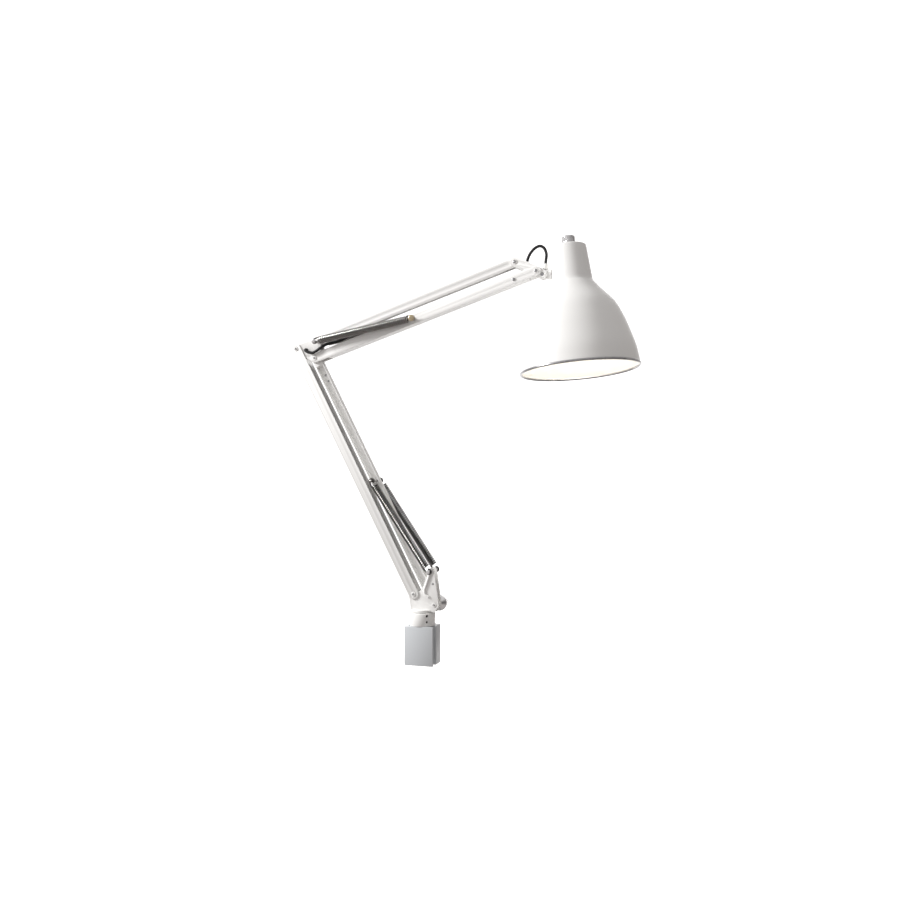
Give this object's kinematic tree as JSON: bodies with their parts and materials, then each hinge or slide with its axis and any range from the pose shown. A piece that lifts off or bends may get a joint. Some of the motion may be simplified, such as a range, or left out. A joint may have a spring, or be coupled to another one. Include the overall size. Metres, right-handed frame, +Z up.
{
  "type": "swing arm desk lamp",
  "caption": "Spring-balanced swing arm lamp: bell shade on two parallelogram arms with tension springs, a swivel fork with a friction knob, and a slotted mounting block.",
  "frame": {"origin": "centre of the mounting block's bottom face, on the base swivel's axis", "axes": "+Z up along the base swivel, +X towards the shade in the arm plane, +Y to the friction knob's side"},
  "size_m": [0.5557, 0.1747, 0.6491],
  "materials": {
    "white_paint": "satin powder coat",
    "grey_paint": "satin powder coat",
    "chrome": "polished plate",
    "spring_steel": "bright drawn wire",
    "steel": "plated",
    "black_rubber": "smooth flex sheath",
    "brass": "turned",
    "black_plastic": "moulded",
    "bush_plastic": "moulded",
    "bulb_glass": "opal"
  },
  "bodies": {
    "mount": {"block_body": "grey_paint", "block_cover": "grey_paint", "collar": "white_paint", "grub_screw_upper": "black_plastic", "grub_screw_lower": "black_plastic", "swivel_bush": "bush_plastic"},
    "swivel": {"swivel_spigot": "steel", "base_fork": "white_paint", "base_rear_pin": "steel", "base_front_pin": "steel", "base_spring_stud_near": "chrome", "base_spring_stud_far": "chrome"},
    "friction_knob": {"friction_knob": "chrome"},
    "lower_rear": {"lower_rear_bar": "white_paint", "cable_lower": "black_rubber"},
    "lower_front": {"lower_front_bar": "white_paint", "bar_rivet_1": "steel", "bar_rivet_2": "steel", "lower_spring_crossbar": "spring_steel"},
    "knuckle": {"knuckle_cheek_near": "white_paint", "knuckle_cheek_far": "white_paint", "knuckle_spring_stud_near": "chrome", "knuckle_spring_stud_far": "chrome", "elbow_rear_pin": "steel", "elbow_front_pin": "steel", "elbow_grommet": "black_rubber", "cable_elbow": "black_rubber"},
    "upper_top": {"upper_top_bar": "white_paint", "cable_upper": "black_rubber"},
    "upper_low": {"upper_low_bar": "white_paint", "spring_anchor_screw_near": "brass", "spring_anchor_screw_far": "brass", "stop_screw": "steel"},
    "head": {"head_plate_near": "white_paint", "head_plate_far": "white_paint", "head_top_pin": "steel", "head_low_pin": "steel", "tilt_pin": "steel", "cable_head_loop": "black_rubber"},
    "shade_holder": {"shade_lug": "white_paint", "shade_stud": "steel", "stud_nut": "steel", "flex_entry_boss": "white_paint"},
    "shade": {"shade": "white_paint", "switch_body": "black_plastic", "lampholder": "black_plastic", "bulb": "bulb_glass"},
    "switch_knob": {"switch_knob": "chrome"},
    "lower_springs": {"lower_spring_near": "spring_steel", "lower_spring_far": "spring_steel", "lower_spring_eye_near": "spring_steel", "lower_spring_eye_far": "spring_steel"},
    "lower_spring_tips": {"lower_spring_hook_near": "spring_steel", "lower_spring_hook_far": "spring_steel"},
    "upper_springs": {"upper_spring_near": "spring_steel", "upper_spring_far": "spring_steel", "upper_spring_eye_near": "spring_steel", "upper_spring_eye_far": "spring_steel"},
    "upper_spring_tips": {"upper_spring_hook_near": "spring_steel", "upper_spring_hook_far": "spring_steel"}
  },
  "joints": [
    {"name": "base_swivel", "type": "hinge", "parent": "mount", "child": "swivel", "pos_m": [0, 0, 0.07], "axis": [0, 0, 1], "range_deg": [-170, 170]},
    {"name": "friction_knob_turn", "type": "hinge", "parent": "swivel", "child": "friction_knob", "pos_m": [0.0213, 0, 0.0928], "axis": [0, 1, 0], "range_deg": [-90, 90]},
    {"name": "lower_lift", "type": "hinge", "parent": "swivel", "child": "lower_rear", "pos_m": [-0.0117, 0, 0.1083], "axis": [0, 1, 0], "range_deg": [-10, 30]},
    {"name": "lower_front_follow", "type": "hinge", "parent": "swivel", "child": "lower_front", "pos_m": [0.0213, 0, 0.0928], "axis": [0, 1, 0], "range_deg": [-10.6, 31]},
    {"name": "knuckle_level", "type": "hinge", "parent": "lower_rear", "child": "knuckle", "pos_m": [-0.2125, 0, 0.4934], "axis": [0, 1, 0], "range_deg": [-31, 10.6]},
    {"name": "upper_lift", "type": "hinge", "parent": "knuckle", "child": "upper_top", "pos_m": [-0.2125, 0, 0.4934], "axis": [0, -1, 0], "range_deg": [-19, 30], "deforming": ["cable_elbow"]},
    {"name": "upper_low_follow", "type": "hinge", "parent": "knuckle", "child": "upper_low", "pos_m": [-0.1795, 0, 0.4779], "axis": [0, -1, 0], "range_deg": [-19.8, 31]},
    {"name": "head_level", "type": "hinge", "parent": "upper_top", "child": "head", "pos_m": [0.1489, 0, 0.6128], "axis": [0, -1, 0], "range_deg": [-31, 19.8]},
    {"name": "shade_tilt", "type": "hinge", "parent": "head", "child": "shade_holder", "pos_m": [0.191, 0, 0.592], "axis": [0, -1, 0], "range_deg": [-20, 35], "deforming": ["cable_head_loop"]},
    {"name": "shade_roll", "type": "hinge", "parent": "shade_holder", "child": "shade", "pos_m": [0.2045, 0, 0.592], "axis": [1, 0, 0], "range_deg": [-30, 30]},
    {"name": "switch_turn", "type": "hinge", "parent": "shade", "child": "switch_knob", "pos_m": [0.2294, 0.0025, 0.6329], "axis": [-0.101, 0.061, 0.993], "range_deg": [0, 90]},
    {"name": "lower_spring_swing", "type": "hinge", "parent": "swivel", "child": "lower_springs", "pos_m": [0.0165, 0, 0.145], "axis": [0, 1, 0], "range_deg": [-13.5, 40]},
    {"name": "lower_spring_stretch", "type": "slide", "parent": "lower_springs", "child": "lower_spring_tips", "axis": [-0.5648, 0, 0.8252], "range_m": [-0.0076, 0.0026], "deforming": ["lower_spring_near", "lower_spring_far", "lower_spring_hook_near", "lower_spring_hook_far"]},
    {"name": "upper_spring_swing", "type": "hinge", "parent": "knuckle", "child": "upper_springs", "pos_m": [-0.1757, 0, 0.5041], "axis": [0, -1, 0], "range_deg": [-21, 33]},
    {"name": "upper_spring_stretch", "type": "slide", "parent": "upper_springs", "child": "upper_spring_tips", "axis": [0.9844, 0, 0.1761], "range_m": [-0.0128, 0.0081], "deforming": ["upper_spring_near", "upper_spring_far", "upper_spring_hook_near", "upper_spring_hook_far"]}
  ],
  "couplings": [
    {"joint": "lower_front_follow", "follows": "lower_lift", "ratio": 1},
    {"joint": "knuckle_level", "follows": "lower_lift", "ratio": -1},
    {"joint": "lower_spring_swing", "follows": "lower_lift", "ratio": 1.296},
    {"joint": "lower_spring_stretch", "follows": "lower_lift", "m_per_rad": -0.014},
    {"joint": "upper_low_follow", "follows": "upper_lift", "ratio": 1},
    {"joint": "head_level", "follows": "upper_lift", "ratio": -1},
    {"joint": "upper_spring_swing", "follows": "upper_lift", "ratio": 1.064},
    {"joint": "upper_spring_stretch", "follows": "upper_lift", "m_per_rad": -0.0235}
  ]
}
